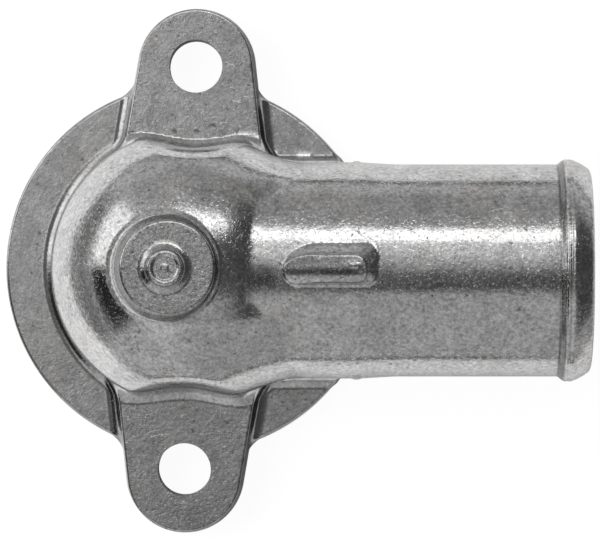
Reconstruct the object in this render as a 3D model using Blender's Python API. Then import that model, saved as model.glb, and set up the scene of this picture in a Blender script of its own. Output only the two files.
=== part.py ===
"""Thermostat housing: a bare aluminium coolant outlet, die-cast as one piece.

It stands on its machined flange face at z = 0, with the hose neck along +X.
The thermostat axis is vertical, through (AXIS_X, AXIS_Y). The outer skin of the
bulb and the neck is one loft. The flange disc, the bolt ears, the blank boss and
the hose stop are united with it, and the water way is cut out last.
"""
import math

import bmesh
import bpy
from mathutils import Matrix, Vector

MM = 0.001

# Flange disc
DISC_RADIUS = 33.0 * MM
DISC_THICKNESS = 5.0 * MM
RIM_CHAMFER = 0.7 * MM

# Bolt ears
BOLT_OFFSET = 35.8 * MM
BOLT_CLOCKING = math.radians(1.63)
BOLT_HOLE_RADIUS = 4.7 * MM
EAR_THICKNESS = 10.0 * MM
EAR_TIP_RADIUS = 10.6 * MM
UPPER_TIP_SHIFT = 0.0 * MM
LOWER_TIP_SHIFT = 1.0 * MM
EAR_SPLAY = math.radians(8.0)
EAR_DRAFT = math.radians(3.0)
EAR_EDGE = 0.35 * MM
EAR_COVE = 1.5 * MM

# Bulb over the thermostat
BULB_RADIUS = 24.0 * MM
BULB_RISE = 22.0 * MM
DOME_DROP = 1.0 * MM
WALL_COVE = 2.5 * MM
BOLT_HEAD_ROOM = 14.7 * MM
SCALLOP_BLEND = 2.4 * MM

# Hose neck
NECK_HEIGHT = 25.0 * MM
NECK_ROOT_RADIUS = 18.85 * MM
NECK_RADIUS = 18.5 * MM
NECK_START = 6.3 * MM
ROOT_END = 34.6 * MM
ROOT_TAPER = 1.6 * MM
VALLEY_BLEND = 0.8 * MM
BEAD_SETBACK = 6.2 * MM
BEAD_RISE = 0.95 * MM
BEAD_FLANK = 1.35 * MM
BEAD_CREST = 0.95 * MM
NECK_REACH = 70.1 * MM
NOSE_TILT = math.tan(math.radians(12.7))
NOSE_BOW_RADIUS = 8.5 * MM
NOSE_CORNER = 0.7 * MM

# Blank boss on the bulb
BOSS_SHIFT_X = -3.4 * MM
BOSS_SHIFT_Y = 0.4 * MM
BOSS_LIFT = 22.4 * MM
BOSS_BASE_RADIUS = 9.5 * MM
BOSS_FLARE = 5.6 * MM
BOSS_TOP_RADIUS = 8.2 * MM
BOSS_EDGE = 0.3 * MM
BUTTON_RISE = 1.3 * MM
BUTTON_BASE_RADIUS = 4.4 * MM
BUTTON_TOP_RADIUS = 3.0 * MM
DISH_RADIUS = 2.2 * MM
DISH_DEPTH = 0.25 * MM

# Hose stop on the neck
STOP_START = 16.5 * MM
STOP_END = 32.9 * MM
STOP_HALF_WIDTH = 4.1 * MM
STOP_SHIFT_Y = 0.7 * MM
STOP_RISE = 1.85 * MM
STOP_CROWN_RADIUS = 9.5 * MM
STOP_DRAFT_RUN = 0.5 * MM
STOP_RAMP_RUN = 6.0 * MM
STOP_RAMP_FALL = 1.0 * MM
STOP_CORNER = 2.2 * MM

# Water way
SEAT_RADIUS = 27.3 * MM
SEAT_DEPTH = 3.0 * MM
CHAMBER_RADIUS = 18.0 * MM
CHAMBER_RISE = 17.0 * MM
BORE_RADIUS = 15.4 * MM
BORE_CHAMFER = 0.4 * MM

# Places that follow from the neck's height and reach
BOSS_TOP = NECK_HEIGHT + BOSS_LIFT
DOME_FOOT = NECK_HEIGHT - DOME_DROP
BEAD_START = NECK_REACH - BEAD_SETBACK

# Where the thermostat axis stands, so that the origin is under the middle of the piece
UPPER_REACH = BOLT_OFFSET * math.cos(BOLT_CLOCKING) + UPPER_TIP_SHIFT + EAR_TIP_RADIUS
LOWER_REACH = BOLT_OFFSET * math.cos(BOLT_CLOCKING) + LOWER_TIP_SHIFT + EAR_TIP_RADIUS
AXIS_X = (DISC_RADIUS - NECK_REACH) / 2
AXIS_Y = (LOWER_REACH - UPPER_REACH) / 2

# Fineness of the round shapes
ROUND_STEPS = 96
BOSS_STEPS = 48
TIP_STEPS = 24
BORE_STEPS = 64
COVE_STEPS = 4
WALL_STEPS = 7
WEB_STEPS = 7
DOME_STEPS = 11
AZIMUTH_STEPS = 16
BEAD_STEPS = 4
NOSE_STEPS = 4
STOP_RINGS = 3
STATION_STEP = 1.6 * MM

# How deep a shape reaches into the one that it grows from, and how far a cutter runs past
ROOT_DEPTH = 1.5 * MM
CUT_MARGIN = 5.0 * MM
# What a cove is sunk by, so that it crosses the faces that it runs into
COVE_SINK = 0.06 * MM
# Stock on the flange face, which the facing cut takes off
FACING_STOCK = 2.0 * MM
# How far the foot of the web and of the ears' coves stops inside the disc's rim
RIM_LAND = 1.1 * MM


def cast_aluminium():
    """The bare, slightly dull grey of a die casting."""
    material = bpy.data.materials.new("cast_aluminium")
    material.use_nodes = True
    shader = material.node_tree.nodes["Principled BSDF"]
    shader.inputs["Base Color"].default_value = (0.56, 0.56, 0.565, 1.0)
    shader.inputs["Metallic"].default_value = 1.0
    shader.inputs["Roughness"].default_value = 0.36
    return material


def make_object(name, mesh_builder):
    """Turn a bmesh into an object whose origin is on the thermostat axis."""
    mesh = bpy.data.meshes.new(name)
    mesh_builder.to_mesh(mesh)
    mesh_builder.free()
    made = bpy.data.objects.new(name, mesh)
    made.location = (AXIS_X, AXIS_Y, 0.0)
    bpy.context.scene.collection.objects.link(made)
    return made


def loft(rows, closed_rows):
    """Join rows of points with quads. Each row has the same number of points."""
    builder = bmesh.new()
    grid = [[builder.verts.new(point) for point in row] for row in rows]
    length = len(rows[0])
    last = length if closed_rows else length - 1
    for row, above in zip(grid, grid[1:]):
        for start in range(last):
            end = (start + 1) % length
            builder.faces.new((row[start], row[end], above[end], above[start]))
    return builder


def close_and_orient(builder):
    """Merge the points that meet, fill the open ends, make all faces flat and turn them outwards."""
    bmesh.ops.remove_doubles(builder, verts=builder.verts, dist=0.001 * MM)
    bmesh.ops.dissolve_degenerate(builder, edges=builder.edges, dist=0.001 * MM)
    open_edges = [edge for edge in builder.edges if edge.is_boundary]
    if open_edges:
        bmesh.ops.holes_fill(builder, edges=open_edges, sides=0)
    bmesh.ops.triangulate(builder, faces=builder.faces)
    bmesh.ops.recalc_face_normals(builder, faces=builder.faces)


def circle(radius, height, steps):
    """Points round the vertical axis, starting on +X."""
    angles = [math.tau * index / steps for index in range(steps)]
    return [Vector((radius * math.cos(a), radius * math.sin(a), height)) for a in angles]


def turned(profile, steps):
    """A solid turned round the vertical axis from (radius, height) pairs, bottom to top."""
    builder = loft([circle(radius, height, steps) for radius, height in profile], True)
    close_and_orient(builder)
    return builder


def smooth_max(first, second, blend):
    """The larger of two lengths, with the corner between them rounded."""
    overlap = max(blend - abs(first - second), 0.0) / blend
    return max(first, second) + overlap * overlap * blend / 4


def smooth_min(first, second, blend):
    """The smaller of two lengths, with the corner between them rounded."""
    return -smooth_max(-first, -second, blend)


def root(value):
    """A square root that is zero where a circle has ended."""
    return math.sqrt(max(value, 0.0))


def cove_profile(size):
    """A hollow quarter round as (rise, spread) pairs, from its foot up to its wall."""
    angles = [math.pi / 2 * index / COVE_STEPS for index in range(COVE_STEPS + 1)]
    return [(size * (1 - math.cos(angle)), size * (1 - math.sin(angle))) for angle in angles]


def bolt_position(side):
    """The centre of the bolt hole on the +Y side (1) or the -Y side (-1)."""
    return Vector((BOLT_OFFSET * math.sin(BOLT_CLOCKING), BOLT_OFFSET * math.cos(BOLT_CLOCKING))) * side


def scallop_limit(station, side, spread):
    """How far out the skin may stand beside a bolt head, at one station along X."""
    bolt = bolt_position(side)
    reach = BOLT_HEAD_ROOM - spread
    across = station - bolt.x
    if abs(across) >= reach:
        return abs(bolt.y)
    return abs(bolt.y) - root(reach * reach - across * across)


def clear_bolt_head(point, spread):
    """Move a point of the skin inwards to the scallop that clears the bolt head."""
    side = 1 if point.y >= 0 else -1
    limit = scallop_limit(point.x, side, spread)
    return Vector((point.x, side * smooth_min(abs(point.y), limit, SCALLOP_BLEND), point.z))


def neck_radius_at(station):
    """The radius of the neck's round start, which is hidden in the bulb, and of its root."""
    start = NECK_START
    return root(NECK_ROOT_RADIUS ** 2 - min(station - start, 0.0) ** 2)


def wall_levels():
    """Heights and cove spreads up the wall, from inside the disc to the neck's height."""
    levels = [(DISC_THICKNESS - ROOT_DEPTH, WALL_COVE)]
    for rise, spread in cove_profile(WALL_COVE):
        levels.append((DISC_THICKNESS - COVE_SINK + rise, spread))
    drop = NECK_HEIGHT - DISC_THICKNESS - WALL_COVE
    for index in range(1, WALL_STEPS):
        levels.append((NECK_HEIGHT - drop * math.cos(math.pi / 2 * index / WALL_STEPS), 0.0))
    return levels


def half_width(station, height, spread):
    """Half the width of the body at one station and height, below the neck's axis."""
    bulb = root((BULB_RADIUS + spread) ** 2 - station ** 2)
    rim = root((DISC_RADIUS - RIM_LAND) ** 2 - station ** 2)
    neck = neck_radius_at(station)
    web = min(neck + spread, rim)
    under_neck = root(neck ** 2 - (NECK_HEIGHT - height) ** 2)
    standing = smooth_max(bulb, web, VALLEY_BLEND) if station < BULB_RADIUS else web
    return max(standing, under_neck)


def dome_angles():
    """Angles over the top of a section, from the +Y side to the -Y side."""
    return [math.pi * index / (2 * DOME_STEPS) for index in range(2 * DOME_STEPS + 1)]


def dome_radius_at(station, angle):
    """How far the dome stands from the neck's axis, at one station and angle over the top."""
    across = Vector((math.cos(angle) / BULB_RADIUS, math.sin(angle) / BULB_RISE))
    lift = math.sin(angle) * DOME_DROP / BULB_RISE ** 2
    left = 1 - (station / BULB_RADIUS) ** 2 - (DOME_DROP / BULB_RISE) ** 2
    square = across.length_squared
    return (root(lift * lift + square * left) - lift) / square


def station_row(station):
    """The section across X: up the +Y wall, over the top and down the -Y wall."""
    neck = neck_radius_at(station)
    over = []
    for angle in dome_angles():
        radius = smooth_max(dome_radius_at(station, angle), neck, VALLEY_BLEND)
        point = Vector((station, radius * math.cos(angle), NECK_HEIGHT + radius * math.sin(angle)))
        over.append(clear_bolt_head(point, 0.0))
    sides = []
    for side in (1, -1):
        wall = []
        for height, spread in wall_levels():
            point = Vector((station, side * half_width(station, height, spread), height))
            wall.append(clear_bolt_head(point, spread))
        sides.append(wall)
    return sides[0] + over + sides[1][::-1]


def meridian(azimuth, side):
    """The bulb's profile from its foot to its pole, at one azimuth."""
    points = []
    for height, spread in wall_levels():
        radius = BULB_RADIUS + spread
        point = Vector((radius * math.cos(azimuth), side * radius * math.sin(azimuth), height))
        points.append(clear_bolt_head(point, spread))
    for angle in dome_angles()[:DOME_STEPS + 1]:
        height = NECK_HEIGHT + (BULB_RISE - DOME_DROP) * math.sin(angle)
        radius = BULB_RADIUS * root(1 - ((height - DOME_FOOT) / BULB_RISE) ** 2)
        point = Vector((radius * math.cos(azimuth), side * radius * math.sin(azimuth), height))
        points.append(clear_bolt_head(point, 0.0))
    return points


def bulb_rows():
    """The half of the bulb away from the neck, opened like a book about its pole."""
    rows = []
    for index in range(AZIMUTH_STEPS):
        azimuth = math.pi - math.pi / 2 * index / AZIMUTH_STEPS
        rows.append(meridian(azimuth, 1)[:-1] + meridian(azimuth, -1)[::-1])
    return rows


def body_stations():
    """Places along X for the sections between the bulb's pole and the disc's rim."""
    rim = DISC_RADIUS - RIM_LAND
    corner = math.asin(NECK_ROOT_RADIUS / rim)
    straight_end = rim * math.cos(corner)
    count = math.ceil(straight_end / STATION_STEP)
    stations = [straight_end * index / count for index in range(count + 1)]
    for index in range(1, WEB_STEPS):
        stations.append(rim * math.cos(corner * (1 - index / WEB_STEPS)))
    return stations


def neck_profile():
    """(station, radius) pairs of the neck from the disc's rim to its open end."""
    profile = [(ROOT_END, NECK_ROOT_RADIUS), (ROOT_END + ROOT_TAPER, NECK_RADIUS)]
    for index in range(BEAD_STEPS + 1):
        share = index / BEAD_STEPS
        rise = BEAD_RISE * share * share * (3 - 2 * share)
        profile.append((BEAD_START + BEAD_FLANK * share, NECK_RADIUS + rise))
    nose_start = BEAD_START + BEAD_FLANK + BEAD_CREST
    for index in range(NOSE_STEPS + 1):
        past = (NECK_REACH - NOSE_CORNER - nose_start) * index / NOSE_STEPS
        profile.append((nose_start + past, nose_radius(past)))
    profile.append((NECK_REACH, nose_radius(NECK_REACH - nose_start) - NOSE_CORNER))
    return profile


def nose_radius(past):
    """The radius of the bowed nose, so far past the bead's crest."""
    return NECK_RADIUS + BEAD_RISE - NOSE_TILT * past - past * past / (2 * NOSE_BOW_RADIUS)


def neck_row(station, radius):
    """A full circle of the neck, split at its lowest point, with a section's count of points."""
    below = len(wall_levels())
    angles = [-math.pi / 2 * (1 - index / below) for index in range(below)]
    angles += dome_angles()
    angles += [math.pi + math.pi / 2 * (index + 1) / below for index in range(below)]
    row = []
    for angle in angles:
        row.append(Vector((station, radius * math.cos(angle), NECK_HEIGHT + radius * math.sin(angle))))
    return row


def web_end_row():
    """The neck's circle where the web under it ends, with its points at the web's heights."""
    station = DISC_RADIUS - RIM_LAND
    lowest = NECK_HEIGHT - NECK_ROOT_RADIUS
    sides = []
    for side in (1, -1):
        heights = [max(height, lowest) for height, spread in wall_levels()]
        widths = [root(NECK_ROOT_RADIUS ** 2 - (NECK_HEIGHT - height) ** 2) for height in heights]
        sides.append([Vector((station, side * width, height)) for width, height in zip(widths, heights)])
    over = []
    for angle in dome_angles():
        lift = NECK_ROOT_RADIUS * math.sin(angle)
        over.append(Vector((station, NECK_ROOT_RADIUS * math.cos(angle), NECK_HEIGHT + lift)))
    return sides[0] + over + sides[1][::-1]


def outer_skin():
    """The bulb, the web under the neck and the neck, lofted as one skin."""
    rows = bulb_rows()
    rows += [station_row(station) for station in body_stations()]
    rows.append(web_end_row())
    rows += [neck_row(station, radius) for station, radius in neck_profile()]
    builder = loft(rows, False)
    close_and_orient(builder)
    return make_object("housing", builder)


def flange_disc():
    """The thin round flange, with its rim chamfered all round on top."""
    inner = DISC_RADIUS - RIM_CHAMFER
    profile = [(DISC_RADIUS, -FACING_STOCK), (DISC_RADIUS, DISC_THICKNESS - RIM_CHAMFER), (inner, DISC_THICKNESS)]
    return make_object("flange_disc", turned(profile, ROUND_STEPS))


def ear_outline(side, tip_shift, spread, height):
    """Outline of a bolt ear: a round tip whose flanks splay towards the bulb."""
    outward = Vector((math.sin(BOLT_CLOCKING), math.cos(BOLT_CLOCKING))) * side
    across = Vector((outward.y, -outward.x))
    centre = bolt_position(side) + outward * tip_shift
    radius = EAR_TIP_RADIUS + spread
    sweep = math.pi / 2 - EAR_SPLAY
    points = []
    for index in range(TIP_STEPS + 1):
        angle = -sweep + 2 * sweep * index / TIP_STEPS
        points.append(centre + radius * (math.cos(angle) * outward + math.sin(angle) * across))
    run = (BOLT_OFFSET + tip_shift - BULB_RADIUS / 2) / math.cos(EAR_SPLAY)
    flank_in = -outward * math.cos(EAR_SPLAY)
    for sign, end in ((1, points[-1]), (-1, points[0])):
        points.insert(0 if sign < 0 else len(points), end + run * (flank_in + sign * math.sin(EAR_SPLAY) * across))
    return [Vector((point.x, point.y, height)) for point in points]


def bolt_ear(name, side, tip_shift):
    """One bolt ear, drafted from the flange face up, with a soft top edge."""
    taper = math.tan(EAR_DRAFT)
    sink = EAR_THICKNESS * taper
    levels = [(-2 * FACING_STOCK, 0.0), (0.0, 0.0), (EAR_THICKNESS - EAR_EDGE, EAR_EDGE * taper - sink)]
    levels.append((EAR_THICKNESS, -sink - EAR_EDGE))
    rows = [ear_outline(side, tip_shift, spread, height) for height, spread in levels]
    builder = loft(rows, True)
    close_and_orient(builder)
    return make_object(name, builder)


def ear_foot(name, side, tip_shift):
    """The cove where an ear rises from the disc. It is trimmed to the disc."""
    rows = []
    lift = DISC_THICKNESS - ROOT_DEPTH
    rows.append(ear_outline(side, tip_shift, EAR_COVE, lift))
    for rise, spread in cove_profile(EAR_COVE):
        height = DISC_THICKNESS - COVE_SINK + rise
        taper = -height * math.tan(EAR_DRAFT)
        rows.append(ear_outline(side, tip_shift, taper + spread - COVE_SINK, height))
    inside = -2 * EAR_COVE
    rows.append(ear_outline(side, tip_shift, inside, DISC_THICKNESS + EAR_COVE))
    builder = loft(rows, True)
    close_and_orient(builder)
    made = make_object(name, builder)
    land = DISC_RADIUS - RIM_LAND
    trim = make_object(name + "_trim", turned([(land, 0.0), (land, 2 * DISC_THICKNESS)], ROUND_STEPS))
    combine(made, trim, "INTERSECT")
    return made


def wall_foot(name, side, tip_shift):
    """The cove where the bulb's scalloped wall rises from an ear's top face."""
    ring = [(-ROOT_DEPTH, -ROOT_DEPTH), (-ROOT_DEPTH, EAR_COVE)]
    ring += [(rise - COVE_SINK, spread - COVE_SINK) for rise, spread in cove_profile(EAR_COVE)]
    ring.append((EAR_COVE, -ROOT_DEPTH))
    bolt = bolt_position(side)
    inward = bolt.length - BULB_RADIUS + tip_shift
    reach = EAR_TIP_RADIUS + inward * math.tan(EAR_SPLAY) - EAR_THICKNESS * math.tan(EAR_DRAFT) - EAR_EDGE
    middle = bolt.x * BULB_RADIUS / bolt.length
    rows = []
    for index in range(TIP_STEPS + 1):
        station = middle + reach * (2 * index / TIP_STEPS - 1)
        row = []
        for rise, spread in ring:
            width = half_width(station, EAR_THICKNESS, spread)
            row.append(clear_bolt_head(Vector((station, side * width, EAR_THICKNESS + rise)), spread))
        rows.append(row)
    builder = loft(rows, True)
    close_and_orient(builder)
    return make_object(name, builder)


def blank_boss():
    """The undrilled sensor boss: a drafted disc that carries a smaller dished button."""
    button_top = BOSS_TOP + BUTTON_RISE
    profile = [
        (BOSS_BASE_RADIUS, NECK_HEIGHT + BULB_RISE / 2),
        (BOSS_BASE_RADIUS, BOSS_TOP - BOSS_FLARE),
        (BOSS_TOP_RADIUS, BOSS_TOP - BOSS_EDGE),
        (BOSS_TOP_RADIUS - BOSS_EDGE, BOSS_TOP),
        (BUTTON_BASE_RADIUS, BOSS_TOP),
        (BUTTON_TOP_RADIUS, button_top),
        (DISH_RADIUS, button_top),
        (DISH_RADIUS - DISH_DEPTH, button_top - DISH_DEPTH),
    ]
    made = make_object("blank_boss", turned(profile, BOSS_STEPS))
    made.location += Vector((BOSS_SHIFT_X, BOSS_SHIFT_Y, 0.0))
    return made


def stop_outline(inset):
    """Outline of the hose stop: a rounded end towards the bead, a narrowing one towards the bulb."""
    half = STOP_HALF_WIDTH - inset
    corner = min(STOP_CORNER, half)
    points = []
    for sign in (-1, 1):
        for index in range(COVE_STEPS + 1):
            angle = math.pi / 2 * (index / COVE_STEPS if sign > 0 else index / COVE_STEPS - 1)
            centre = Vector((STOP_END - inset - corner, sign * (half - corner)))
            points.append(centre + corner * Vector((math.cos(angle), math.sin(angle))))
    reach = (STOP_END - STOP_START - corner) / 2 - inset
    for index in range(1, 2 * COVE_STEPS):
        angle = math.pi / 2 + math.pi * index / (2 * COVE_STEPS)
        along = STOP_START + inset + reach * (1 + math.cos(angle))
        points.append(Vector((along, half * math.sin(angle))))
    return points


def stop_root(point):
    """A point of the stop's outline, sunk into the neck."""
    y = point.y + STOP_SHIFT_Y
    crown = root(NECK_ROOT_RADIUS ** 2 - y ** 2)
    return Vector((point.x, y, NECK_HEIGHT + crown - ROOT_DEPTH))


def stop_crown(point):
    """A point of the stop's outline, lifted to its crowned top, which falls towards the bulb."""
    sag = STOP_CROWN_RADIUS - root(STOP_CROWN_RADIUS ** 2 - point.y ** 2)
    fall = STOP_RAMP_FALL * max(1 - (point.x - STOP_START) / STOP_RAMP_RUN, 0.0)
    top = NECK_HEIGHT + NECK_ROOT_RADIUS + STOP_RISE
    return Vector((point.x, point.y + STOP_SHIFT_Y, top - sag - fall))


def hose_stop():
    """The pad on the neck that the hose is pushed up to: a slim barrel cut off square."""
    rows = [[stop_root(point) for point in stop_outline(0.0)]]
    for ring in range(STOP_RINGS):
        inset = STOP_DRAFT_RUN + (STOP_HALF_WIDTH - STOP_DRAFT_RUN) * ring / STOP_RINGS
        rows.append([stop_crown(point) for point in stop_outline(inset)])
    builder = loft(rows, True)
    close_and_orient(builder)
    return make_object("hose_stop", builder)


def chamber_cutter():
    """The space over the thermostat, with the stepped seat for its rim."""
    profile = [(SEAT_RADIUS, -CUT_MARGIN), (SEAT_RADIUS, SEAT_DEPTH), (CHAMBER_RADIUS, SEAT_DEPTH)]
    steps = DOME_STEPS
    for index in range(steps):
        angle = math.pi / 2 * index / steps
        profile.append((CHAMBER_RADIUS * math.cos(angle), NECK_HEIGHT + CHAMBER_RISE * math.sin(angle)))
    return make_object("chamber_cutter", turned(profile, BORE_STEPS))


def bore_cutter():
    """The round way through the neck, eased at the open end."""
    mouth = BORE_RADIUS + BORE_CHAMFER
    profile = [(BORE_RADIUS, 0.0), (BORE_RADIUS, NECK_REACH - BORE_CHAMFER), (mouth, NECK_REACH)]
    profile.append((mouth, NECK_REACH + CUT_MARGIN))
    builder = turned(profile, BORE_STEPS)
    bmesh.ops.rotate(builder, verts=builder.verts, matrix=Matrix.Rotation(math.pi / 2, 3, "Y"))
    bmesh.ops.translate(builder, verts=builder.verts, vec=(0.0, 0.0, NECK_HEIGHT))
    return make_object("bore_cutter", builder)


def bolt_cutter(name, side):
    """A plain clearance hole through one ear."""
    profile = [(BOLT_HOLE_RADIUS, -CUT_MARGIN), (BOLT_HOLE_RADIUS, EAR_THICKNESS + CUT_MARGIN)]
    made = make_object(name, turned(profile, BORE_STEPS))
    bolt = bolt_position(side)
    made.location += Vector((bolt.x, bolt.y, 0.0))
    return made


def facing_cutter():
    """The block of stock below the flange face."""
    builder = bmesh.new()
    bmesh.ops.create_cube(builder, size=1.0)
    width = 3 * NECK_REACH
    size = Vector((width, width, 4 * FACING_STOCK))
    bmesh.ops.scale(builder, verts=builder.verts, vec=size)
    bmesh.ops.translate(builder, verts=builder.verts, vec=(0.0, 0.0, -size.z / 2))
    return make_object("facing_cutter", builder)


def combine(target, tool, operation):
    """Unite a shape with the target, or cut it out, and keep it as a guide."""
    change = target.modifiers.new(tool.name, "BOOLEAN")
    change.operation = operation
    change.object = tool
    tool.hide_render = True
    tool.display_type = "WIRE"


def build_housing():
    """Unite what is cast, then cut what the core and the drills leave open."""
    housing = outer_skin()
    combine(housing, flange_disc(), "UNION")
    for name, side, tip_shift in (("upper", 1, UPPER_TIP_SHIFT), ("lower", -1, LOWER_TIP_SHIFT)):
        combine(housing, bolt_ear(name + "_ear", side, tip_shift), "UNION")
        combine(housing, ear_foot(name + "_ear_foot", side, tip_shift), "UNION")
        combine(housing, wall_foot(name + "_wall_foot", side, tip_shift), "UNION")
    combine(housing, blank_boss(), "UNION")
    combine(housing, hose_stop(), "UNION")
    combine(housing, facing_cutter(), "DIFFERENCE")
    combine(housing, chamber_cutter(), "DIFFERENCE")
    combine(housing, bore_cutter(), "DIFFERENCE")
    for name, side in (("upper_bolt_cutter", 1), ("lower_bolt_cutter", -1)):
        combine(housing, bolt_cutter(name, side), "DIFFERENCE")
    housing.data.materials.append(cast_aluminium())
    housing.data.shade_smooth()
    housing.data.set_sharp_from_angle(angle=math.radians(35))
    return housing


def clear_scene():
    """Remove whatever the file holds before the part is built."""
    for found in list(bpy.data.objects):
        bpy.data.objects.remove(found, do_unlink=True)


clear_scene()
build_housing()
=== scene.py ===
# %% [markdown]
# # A coolant outlet, cast in aluminium
#
# The object is the outlet that covers a thermostat on an engine. It is one die casting: a thin round
# flange, two thick bolt ears, a bulb over the thermostat, and a neck that a rubber hose is pushed on to.
# It carries no paint, so its whole look comes from bare metal: soft fillets, a granular skin, and
# the studio that is mirrored in it.
#
# The imported model is loaded first. Every size below is in millimetres in the casting's own frame, whose
# origin is on the thermostat axis at the flange face, and sizes are turned into metres where they are handed to
# Blender.

# %% The frame
import math

import bpy
import numpy as np
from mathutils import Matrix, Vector


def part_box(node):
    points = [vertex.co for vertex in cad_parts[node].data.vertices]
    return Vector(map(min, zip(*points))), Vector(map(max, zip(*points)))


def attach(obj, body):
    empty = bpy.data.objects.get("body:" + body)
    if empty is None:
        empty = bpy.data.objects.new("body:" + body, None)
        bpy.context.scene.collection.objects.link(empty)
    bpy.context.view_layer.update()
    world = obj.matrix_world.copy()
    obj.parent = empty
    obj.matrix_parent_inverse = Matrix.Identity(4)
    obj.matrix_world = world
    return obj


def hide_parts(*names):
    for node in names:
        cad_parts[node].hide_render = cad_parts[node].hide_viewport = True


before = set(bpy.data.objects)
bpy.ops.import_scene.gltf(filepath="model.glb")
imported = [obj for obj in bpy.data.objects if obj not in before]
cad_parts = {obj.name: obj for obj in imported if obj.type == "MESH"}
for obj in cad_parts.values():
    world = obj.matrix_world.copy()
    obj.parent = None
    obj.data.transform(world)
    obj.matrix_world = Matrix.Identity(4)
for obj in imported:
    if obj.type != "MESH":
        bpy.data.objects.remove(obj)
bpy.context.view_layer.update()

MM = 0.001
low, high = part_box("housing")
print("packed size in mm:", [round((b - a) / MM, 2) for a, b in zip(low, high)])

# %% [markdown]
# # Fillets as a field
#
# A casting has no sharp inside corners, because molten metal doesn't fill them, and its fillets run into
# one another: the cove round the bulb meets the coves of the ears and swells where they cross.
# A Bevel modifier can round one edge loop at a time, but it fails where three fillets of different
# sizes meet. So the cast skin is described here as a field instead: for any point, a function gives
# the distance to the nearest surface, less than zero inside the metal. Two such fields can be joined
# with a fillet of an exact radius, wherever they meet and however many there are.

# %% Joining fields
def hollow_join(first, second, radius):
    """Unite two forms, with a hollow fillet of this radius where they meet."""
    from_first = np.maximum(radius - first, 0.0)
    from_second = np.maximum(radius - second, 0.0)
    return np.maximum(radius, np.minimum(first, second)) - np.hypot(from_first, from_second)


def rounded_cut(first, second, radius):
    """Keep what lies inside both forms, with the edge between them rounded over."""
    return -hollow_join(-first, -second, radius)


def ease(value, start, end):
    """A smooth step from 0 at start to 1 at end."""
    share = np.clip((value - start) / (end - start), 0.0, 1.0)
    return share * share * (3.0 - 2.0 * share)


print("a fillet of radius 2 in a corner fills it by", round(float(-hollow_join(0.0, 0.0, 2.0)), 3), "mm")

# %% [markdown]
# # Flange and ears
#
# The flange is a thin disc, and the ears are twice as thick, because they take the pull of the bolts.
# Both lean inwards by a few degrees as they rise, which is the draft that lets the casting leave its
# die. An ear is a round tip whose flanks splay towards the bulb. In the field, a point beside
# the flank measures its distance to a straight line, and a point beyond it to the tip's circle.

# %% Flange disc and bolt ears
DISC_RADIUS = 33.0
DISC_THICKNESS = 5.0
DISC_DRAFT = math.tan(math.radians(2.0))
RIM_ROUND = 0.55

BOLT_OFFSET = 35.8
BOLT_CLOCKING = math.radians(1.63)
EAR_THICKNESS = 10.0
EAR_TIP_RADIUS = 10.6
LOWER_TIP_SHIFT = 0.98
EAR_SPLAY = math.radians(8.0)
EAR_DRAFT = math.tan(math.radians(3.0))
EAR_ROUND = 0.4
EAR_COVE = 3.2
FLANGE_COVE = 2.2
PLAN_CORNER = 0.35


def disc_form(x, y, z):
    wall = np.hypot(x, y) - DISC_RADIUS + z * DISC_DRAFT
    return rounded_cut(wall, z - DISC_THICKNESS, RIM_ROUND)


def ear_form(x, y, z, side, tip_shift):
    """One bolt ear, on the +Y side (1) or the -Y side (-1)."""
    out_x = side * math.sin(BOLT_CLOCKING)
    out_y = side * math.cos(BOLT_CLOCKING)
    outward = x * out_x + y * out_y - BOLT_OFFSET - tip_shift
    across = np.abs(x * out_y - y * out_x)
    past_flank = outward * math.cos(EAR_SPLAY) - across * math.sin(EAR_SPLAY)
    flank = outward * math.sin(EAR_SPLAY) + across * math.cos(EAR_SPLAY)
    outline = np.where(past_flank < 0.0, flank, np.hypot(outward, across)) - EAR_TIP_RADIUS
    inner_end = BULB_RADIUS / 2 - BOLT_OFFSET - outward
    wall = np.maximum(outline + z * EAR_DRAFT, inner_end)
    return rounded_cut(wall, z - EAR_THICKNESS, EAR_ROUND)


# %% [markdown]
# # Bulb and neck
#
# The bulb is an upright round wall that closes in a dome, a little flatter than a ball. The neck
# starts inside it as a capsule, narrows slightly where the hose grips, and ends in a bead that keeps
# the hose from sliding off and a rounded nose that lets it slide on. Below the neck a web carries it on
# the flange. A radius that changes along X is all the neck's profile needs.

# %% Bulb, neck and web
BULB_RADIUS = 24.0
BULB_SPRING = 24.0
BULB_RISE = 22.2
WALL_COVE = 2.5

NECK_HEIGHT = 25.0
NECK_SHIFT = -0.45
NECK_ROOT_RADIUS = 18.85
NECK_RADIUS = 18.5
NECK_START = 6.3
ROOT_END = 29.8
ROOT_TAPER = 6.2
BEAD_START = 64.4
BEAD_RISE = 0.66
BEAD_FLANK = 0.75
BEAD_CREST = 0.22
BEAD_CREST_RUN = 0.6
BEAD_GROOVE_AT = 66.1
BEAD_GROOVE_WIDTH = 0.22
BEAD_GROOVE_DEPTH = 0.08
NOSE_START = 66.6
NOSE_TILT = 0.3
NOSE_CURVE = 0.07
NECK_REACH = 70.1
NOSE_ROUND = 0.5
WEB_RIM_LAND = 1.1
VALLEY_FILLET = 0.4
VALLEY_ENDS = 3.0
VALLEY_SHARP_UP = 11.0
VALLEY_SHARP_DOWN = 5.5
FLASH_AT = 29.4
FLASH_LENGTH = 0.65
FLASH_RISE = 0.22


def bulb_form(x, y, z):
    radial = np.hypot(x, y)
    rise = np.maximum(z - BULB_SPRING, 0.0)
    scaled = np.maximum(np.hypot(radial / BULB_RADIUS, rise / BULB_RISE), 1e-3)
    slope = np.hypot(radial / BULB_RADIUS ** 2, rise / BULB_RISE ** 2)
    return scaled * (scaled - 1.0) / np.maximum(slope, 1e-3 / BULB_RADIUS)


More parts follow.
